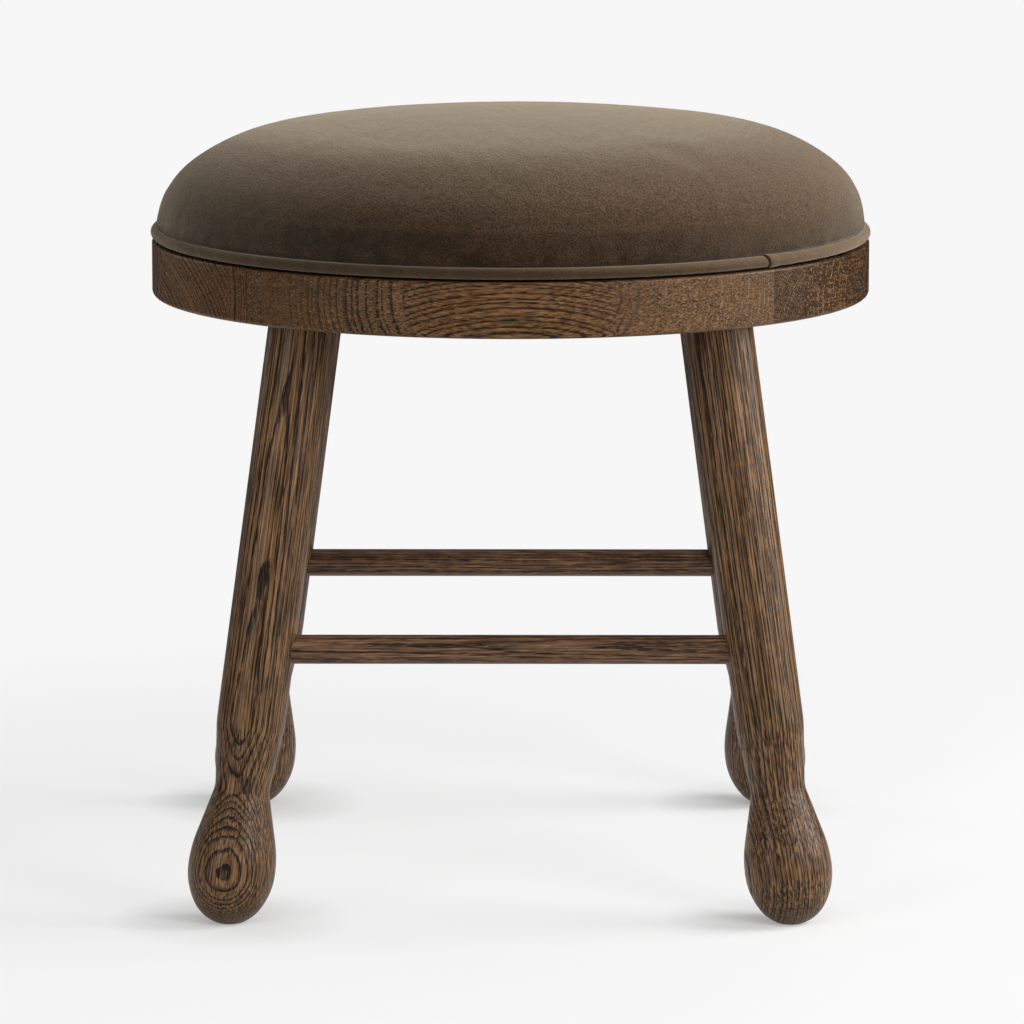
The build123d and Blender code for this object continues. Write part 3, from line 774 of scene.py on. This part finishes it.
@dataclass
class Cushion:
    """Domed pad: a velvet cover drawn over foam, with a shallow crown, a shoulder and a full side."""

    radius: float = 222.1
    side_level: float = 405.5
    side_round: float = 51.8
    side_start: float = 6.0
    shoulder_round: float = 125.4
    shoulder_slope: float = 36.3
    crown_slope: float = 5.4
    tuck_round: float = 2.6
    tuck_turn: float = 106.0
    tuck_drop: float = 0.8
    board_radius: float = 217.4
    board_top: float = 413.9
    board_edge: float = 6.0
    crown_steps: int = 14
    shoulder_steps: int = 12
    side_steps: int = 14
    tuck_steps: int = 5
    round_steps: int = 240
    held_below: float = 1.0
    free_reach: float = 24.0
    ease_above: float = 20.0
    ease_passes: int = 8
    fuller: float = 2.2
    fuller_azimuth: float = 12.0
    fuller_fall: float = 1.5
    fuller_rise: float = 1.6
    slack: float = 2.0
    slack_radius: float = 145.0
    cell: float = 6.0
    near_cells: int = 16
    pressure: float = 4.0
    tension: float = 40.0
    bending: float = 20.0
    frames: int = 20
    swell_limit: float = 4.0
    pucker_depth: float = 0.6
    pucker_reach: float = 22.0
    puckers: float = 17.0
    tuck_pleat: float = 0.5
    tuck_reach: float = 5.0
    tuck_pleats: float = 75.0
    eased_azimuth: float = 205.0
    least_ease: float = 0.3

    @property
    def seam(self) -> float:
        """Height of the seam where the cover meets the piping."""
        return self.side_level + self.side_round * sin(radians(self.side_start))

    def outline(self, bm: BMesh) -> None:
        """Draw half the section: crown, shoulder, side, tuck, and the underside that lies on the board.

        Args:
            bm: Empty mesh that takes the outline.
        """
        shoulder = radians(90 - self.shoulder_slope)
        crown = radians(90 - self.crown_slope)
        side_x, side_z = self.radius - self.side_round, self.side_level
        rise = self.shoulder_round - self.side_round
        shoulder_x, shoulder_z = side_x - rise * cos(shoulder), side_z - rise * sin(shoulder)
        crown_round = self.shoulder_round + shoulder_x / cos(crown)
        crown_z = shoulder_z - (crown_round - self.shoulder_round) * sin(crown)
        start = radians(self.side_start)
        inside = self.side_round - self.tuck_round
        tuck_x, tuck_z = side_x + inside * cos(start), side_z + inside * sin(start)
        turn, side_turn = self.shoulder_slope - self.crown_slope, 90 - self.shoulder_slope - self.side_start

        end = bm.verts.new((0, 0, (crown_z + crown_round) * MM))
        end = sweep(bm, end, (0.0, crown_z), self.crown_slope, self.crown_steps)
        end = sweep(bm, end, (shoulder_x, shoulder_z), turn, self.shoulder_steps)
        end = sweep(bm, end, (side_x, side_z), side_turn, self.side_steps)
        end = sweep(bm, end, (tuck_x, tuck_z), self.tuck_turn, self.tuck_steps)
        wide, top = self.board_radius, self.board_top
        tucked = (wide, tuck_z - self.tuck_drop * self.tuck_round)
        walk(bm, end, [tucked, (wide, top), (wide - self.board_edge, top), (0.5 * wide, top), (0.0, top)])

    def free(self, vert: BMVert | MeshVertex) -> float:
        """Tell how freely the cover can move at a vertex.

        Args:
            vert: Vertex of the cushion.

        Returns:
            0 at the seam, below it and on the underside, and 1 from 25 mm above the seam.
        """
        if vert.normal.z <= -0.2:
            return 0.0
        return max(0.0, min(1.0, (vert.co.z / MM - self.seam - self.held_below) / self.free_reach))

    def fill(self, bm: BMesh) -> None:
        """Fill the pad, fuller behind its right shoulder as in the photograph, and ease its shoulder line.

        Args:
            bm: Mesh of the cushion.
        """
        ease = [v for v in bm.verts if v.co.z / MM > self.seam + self.ease_above]
        axes = {"use_axis_x": True, "use_axis_y": True, "use_axis_z": True}
        for _ in range(self.ease_passes):
            bmesh.ops.smooth_vert(bm, verts=ease, factor=0.5, **axes)
        bm.normal_update()
        side = radians(self.fuller_azimuth)
        moves = []
        for vert in bm.verts:
            around = atan2(vert.co.y, vert.co.x) - side
            level = hypot(vert.co.x, vert.co.y) / MM / self.radius
            share = (0.5 + 0.5 * cos(around)) ** self.fuller_fall * min(1.0, self.fuller_rise * level * level)
            moves.append(vert.normal * (self.fuller * share * self.free(vert) * MM))
        for vert, move in zip(bm.verts, moves):
            vert.co += move

    def inflate(self, bm: BMesh) -> None:
        """Blow the cover up from inside as a cloth, held along its seam and its underside.

        The cloth is an even mesh of its own that starts slack, and its swell is carried over to the cover.

        Args:
            bm: Mesh of the cushion.
        """
        scene = bpy.context.scene
        mesh = bpy.data.meshes.new("cover_cloth")
        bm.to_mesh(mesh)
        cover = bpy.data.objects.new("cover_cloth", mesh)
        scene.collection.objects.link(cover)
        even = cover.modifiers.new("even", "REMESH")
        even.mode, even.voxel_size = "VOXEL", self.cell * MM
        evened = cover.evaluated_get(bpy.context.evaluated_depsgraph_get())
        cover.data = bpy.data.meshes.new_from_object(evened)
        cover.modifiers.clear()
        spots = KDTree(len(cover.data.vertices))
        held = []
        for vert in cover.data.vertices:
            spots.insert(vert.co, vert.index)
            if self.free(vert) == 0.0:
                held.append(vert.index)
            share = 1.0 - (hypot(vert.co.x, vert.co.y) / self.slack_radius / MM) ** 3
            vert.co.z -= self.slack * max(0.0, share) * self.free(vert) * MM
        spots.balance()
        cover.vertex_groups.new(name="held").add(held, 1.0, "REPLACE")
        cloth = cover.modifiers.new("cloth", "CLOTH")
        cache, pull = cloth.point_cache, cloth.settings
        pull.vertex_group_mass = "held"
        pull.use_pressure, pull.uniform_pressure_force = True, self.pressure
        pull.effector_weights.gravity = 0.0
        pull.tension_stiffness = pull.compression_stiffness = self.tension
        pull.bending_stiffness = self.bending
        cache.frame_start, cache.frame_end = 1, self.frames
        for moment in range(1, self.frames + 1):
            scene.frame_set(moment)
        blown = cover.evaluated_get(bpy.context.evaluated_depsgraph_get()).to_mesh()
        largest = 0.0
        for vert in bm.verts:
            near = spots.find_n(vert.co, self.near_cells)
            weights = [1.0 / (gap + self.cell * MM) for _, _, gap in near]
            moved = Vector((0.0, 0.0, 0.0))
            for (spot, index, _), weight in zip(near, weights):
                moved += (blown.vertices[index].co - spot) * (weight / sum(weights))
            largest = max(largest, moved.length / MM)
            vert.co += moved * min(1.0, self.swell_limit * MM / max(moved.length, 1e-9)) * self.free(vert)
        LOG.info("cover settled by %.1f mm at most", largest)
        scene.frame_set(1)
        bpy.data.objects.remove(cover)

    def pucker(self, bm: BMesh) -> None:
        """Draw the cover in by small gathers above the seam, deeper on the left where the cloth was eased.

        Args:
            bm: Mesh of the cushion.
        """
        for vert in bm.verts:
            height = vert.co.z / MM - self.seam
            around = atan2(vert.co.y, vert.co.x)
            out = Vector((vert.co.x, vert.co.y, 0))
            if not -0.5 < height < 1.5 * self.pucker_reach or out.length < (self.board_radius + 1) * MM:
                continue
            rise = max(height, 0.0)
            eased = max(0.0, cos(around - radians(self.eased_azimuth))) ** 3
            share = self.least_ease + (1 - self.least_ease) * eased
            turn = Vector((cos(around), sin(around), 0.0))
            fade = exp(-((rise / self.pucker_reach) ** 2) * 2)
            fold = noise.noise(turn * self.puckers) * self.pucker_depth * fade
            pleat = noise.noise(turn * self.tuck_pleats) * self.tuck_pleat * exp(-rise / self.tuck_reach)
            vert.co += out.normalized() * ((fold + pleat) * share * MM)

    def build(self) -> None:
        """Make the cushion."""
        bm = bmesh.new()
        self.outline(bm)
        turn_round(bm, self.round_steps)
        self.fill(bm)
        self.inflate(bm)
        bmesh.ops.subdivide_edges(bm, edges=bm.edges[:], cuts=1, use_grid_fill=True, smooth=1.0)
        self.pucker(bm)
        piece = make_piece("cushion", bm, CottonVelvet("cotton_velvet"))
        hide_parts("seat_cover", "seat_wadding", "seat_foam")


@dataclass
class Piping:
    """Velvet piping round the cushion's lower edge, with its ends lapped at one join."""

    ring_radius: float = 222.25
    level: float = 405.0
    thickness: float = 7.0
    sides: int = 28
    join_azimuth: float = -46.3
    join_slant: float = 0.33
    join_lead: float = 15.0
    lap_rise: float = 0.6
    lap_reach: float = 14.0
    lap_step: float = 0.5
    lap_wave: float = 0.4
    wave_rate: float = 0.4
    groove: float = 1.1
    groove_width: float = 0.55
    groove_ahead: float = 0.4
    # Turn and steps of each run round the ring, with fine steps at the join
    runs: tuple[tuple[float, int], ...] = ((341.0, 426), (18.0, 240), (1.0, 2))

    def lap(self, bm: BMesh) -> None:
        """Swell the sleeve where its upper end is turned in over the lower one.

        Args:
            bm: Mesh of the piping.
        """
        for vert in bm.verts:
            around = atan2(vert.co.y, vert.co.x) - radians(self.join_azimuth)
            around = (around + pi) % (2 * pi) - pi
            core = Vector((vert.co.x, vert.co.y, 0)).normalized() * self.ring_radius * MM
            core.z = self.level * MM
            along = around * self.ring_radius + self.join_slant * (vert.co.z / MM - self.level)
            if not -2.0 < along < 4 * self.lap_reach:
                continue
            step = min(1.0, max(0.0, along / self.lap_step))
            wave = 1 + self.lap_wave * sin(along * self.wave_rate)
            fade = exp(-max(along, 0.0) / self.lap_reach) * wave
            cut = exp(-((along + self.groove_ahead) / self.groove_width) ** 2)
            swell = (self.lap_rise * step * fade - self.groove * cut) * MM
            vert.co += (vert.co - core).normalized() * swell

    def build(self) -> None:
        """Make the piping."""
        bm = bmesh.new()
        start = Matrix.Rotation(radians(self.join_azimuth + self.join_lead), 4, "Z")
        place = start @ Matrix.Translation((self.ring_radius * MM, 0, self.level * MM))
        upright = place @ Matrix.Rotation(radians(90), 4, "X")
        bmesh.ops.create_circle(bm, segments=self.sides, radius=self.thickness / 2 * MM, matrix=upright)
        last = bm.verts[:] + bm.edges[:]
        for turn, steps in self.runs:
            angle = radians(turn)
            spun = bmesh.ops.spin(
                bm, geom=last, cent=(0, 0, 0), axis=(0, 0, 1), angle=angle, steps=steps, use_merge=False
            )
            last = spun["geom_last"]
        bmesh.ops.remove_doubles(bm, verts=bm.verts[:], dist=0.02 * MM)
        bmesh.ops.recalc_face_normals(bm, faces=bm.faces[:])
        self.lap(bm)
        # Cut on the bias and drawn so tight that few tufts show; its right side and upper half take a lighter
        # colour as painted light
        bias = CottonVelvet(
            "cotton_velvet_bias", "#2f2318", "#372a1d", "#544230", painted_light_tilt=(0.8, 0.0, 0.6), tuft_show=0.15
        )
        piece = make_piece("piping_sleeve", bm, bias)
        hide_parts("piping", "piping_cord")


@dataclass
class PadUnderside:
    """What closes the pad below: the cover's band, the dust cover, the board and what holds them."""

    band_radius: float = 218.45
    band_top: float = 407.0
    band_steps: int = 240
    hem_level: float = 401.1
    hem_width: float = 32.0
    cloth: float = 1.2
    fold_round: float = 2.2
    fold_steps: int = 6
    dust_radius: float = 197.0
    dust_level: float = 400.25
    dust_cloth: float = 0.4
    dust_rings: int = 40
    dust_steps: int = 144
    sag: float = 1.6
    sag_radius: float = 128.0
    ripple: float = 45.0

    def build_band(self) -> None:
        """Make the velvet band that is sewn to the seam and turned under the board."""
        bm = bmesh.new()
        middle = self.band_radius - self.cloth / 2
        fold_level = self.hem_level + self.fold_round
        end = bm.verts.new((middle * MM, 0, self.band_top * MM))
        end = walk(bm, end, [(middle, fold_level)])
        end = sweep(bm, end, (middle - self.fold_round, fold_level), 90.0, self.fold_steps)
        inner = self.band_radius - self.hem_width
        walk(bm, end, [(0.5 * (middle + inner), self.hem_level), (inner, self.hem_level)])
        turn_round(bm, self.band_steps)
        bmesh.ops.solidify(bm, geom=bm.faces[:], thickness=self.cloth / 2 * MM)
        piece = make_piece("cover_band", bm, CottonVelvet("cotton_velvet"))
        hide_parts("under_band")

    def build_dust_cover(self) -> None:
        """Make the black cloth that is stapled over the board, a little slack in the middle."""
        bm = bmesh.new()
        end = bm.verts.new((0, 0, self.dust_level * MM))
        rings = range(1, self.dust_rings + 1)
        walk(bm, end, [(self.dust_radius * ring / self.dust_rings, self.dust_level) for ring in rings])
        turn_round(bm, self.dust_steps)
        for vert in bm.verts:
            out = Vector((vert.co.x, vert.co.y, 0)).length / MM / self.sag_radius
            if out < 1:
                ripple = 0.75 + 0.5 * noise.noise(vert.co / (self.ripple * MM))
                vert.co.z -= self.sag * MM * ripple * (1 - out * out) ** 2
        if bm.faces[:][0].normal.z > 0:
            bmesh.ops.reverse_faces(bm, faces=bm.faces[:])
        bmesh.ops.solidify(bm, geom=bm.faces[:], thickness=self.dust_cloth / 2 * MM)
        piece = make_piece("dust_cloth", bm, NonWovenCloth("spunbond_polypropylene"))
        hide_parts("dust_cover")

    def dress(self) -> None:
        """Give the board plywood and the fixings zinc plating."""
        dress_node("seat_board", BirchPlywood("birch_plywood"))
        for name in ("seat_bolts", "seat_washers", "seat_tee_nuts", "staples"):
            dress_node(name, ZincSteel("zinc_plated_steel"))


@dataclass(frozen=True)
class Softbox:
    """A rectangle of soft studio light."""

    name: str
    at: Triple
    wide: float
    high: float
    watts: float

    def light(self, aim: Vector) -> None:
        """Hang the softbox and point it.

        Args:
            aim: Point that it faces, in metres.
        """
        lamp = bpy.data.lights.new(self.name, "AREA")
        lamp.shape, lamp.energy = "RECTANGLE", self.watts
        lamp.size, lamp.size_y = self.wide * MM, self.high * MM
        hung = bpy.data.objects.new(self.name, lamp)
        hung.location = Vector(self.at) * MM
        hung.rotation_euler = (aim - hung.location).to_track_quat("-Z", "Y").to_euler()
        bpy.context.scene.collection.objects.link(hung)


@dataclass
class Studio:
    """Pale floor, soft light and the camera at the photograph's angle."""

    camera_at: Triple = (0.0, -3743.9, 852.8)
    camera_aim: Triple = (0.0, 0.0, 224.9)
    camera_roll: float = 0.05
    lens: float = 210.8
    sensor: float = 36.0
    shift: float = 0.0016
    floor_half: float = 30000.0
    ambient: float = 0.3
    dim: float = 0.03
    backdrop_edge: float = 0.985
    light_aim: float = 300.0
    softboxes: tuple[Softbox, ...] = (
        Softbox("right_softbox", (2200.0, 0.0, 1250.0), 1200.0, 1600.0, 66.0),
        Softbox("front_right_softbox", (1700.0, -1900.0, 1300.0), 1000.0, 1400.0, 34.0),
        Softbox("front_left_softbox", (-1700.0, -1900.0, 900.0), 700.0, 1400.0, 13.0),
        Softbox("front_top_softbox", (0.0, -2000.0, 2400.0), 1400.0, 1200.0, 11.0),
        Softbox("back_top_softbox", (0.0, 1500.0, 2200.0), 2000.0, 1200.0, 6.0),
        Softbox("back_left_softbox", (-1900.0, 1300.0, 1000.0), 800.0, 1400.0, 6.0),
    )

    def build(self) -> None:
        """Lay the floor, hang the lights and set up the camera."""
        bm = bmesh.new()
        bmesh.ops.create_grid(bm, x_segments=1, y_segments=1, size=self.floor_half * MM)
        mesh = bpy.data.meshes.new("floor")
        bm.to_mesh(mesh)
        bm.free()
        mesh.materials.append(PaperSweep("studio_paper").material())
        floor = bpy.data.objects.new("floor", mesh)
        bpy.context.scene.collection.objects.link(floor)
        for softbox in self.softboxes:
            softbox.light(Vector((0.0, 0.0, self.light_aim * MM)))
        self.fill_world()
        self.place_camera()

    def fill_world(self) -> None:
        """Surround the stool with even light, and with the floor's own colour where it is seen."""
        world = bpy.data.worlds.new("studio")
        bpy.context.scene.world = world
        world.use_nodes = True
        world.node_tree.nodes.clear()
        add = partial(add_node, world.node_tree)
        camera, seen = tell_rays(add)
        # Reflections show the pale backdrop behind the stool and a dim studio elsewhere
        way = add("SeparateXYZ", [add("TexCoord").outputs["Generated"]]).outputs[1]
        behind = add("MapRange", [way, self.backdrop_edge, 1.0, self.dim])
        bright = add("Math", [camera, behind], operation="MAXIMUM")
        air = add("Background", {"Color": (1, 1, 1, 1), "Strength": self.ambient})
        wall = add("Background", {"Color": BACKDROP, "Strength": bright})
        add("OutputWorld", {"Surface": add("MixShader", [seen, air, wall])})

    def place_camera(self) -> None:
        """Set the camera up as the photograph was taken."""
        data = bpy.data.cameras.new("camera")
        data.lens, data.sensor_width, data.shift_x = self.lens, self.sensor, self.shift
        data.clip_end = 100.0
        camera = bpy.data.objects.new("camera", data)
        camera.location = Vector(self.camera_at) * MM
        look = (Vector(self.camera_aim) - Vector(self.camera_at)).to_track_quat("-Z", "Y")
        camera.rotation_euler = (look @ Quaternion((0, 0, 1), radians(self.camera_roll))).to_euler()
        bpy.context.scene.collection.objects.link(camera)
        bpy.context.scene.camera = camera
        bpy.context.scene.view_settings.view_transform = "Standard"


def main() -> None:
    """Build and dress the stool, then set up the studio."""
    logging.basicConfig(level=logging.INFO, format="%(message)s")
    OakFrame().dress()
    Joinery().dress()
    Cushion().build()
    Piping().build()
    underside = PadUnderside()
    underside.build_band()
    underside.build_dust_cover()
    underside.dress()
    Studio().build()


if __name__ == "__main__":
    main()
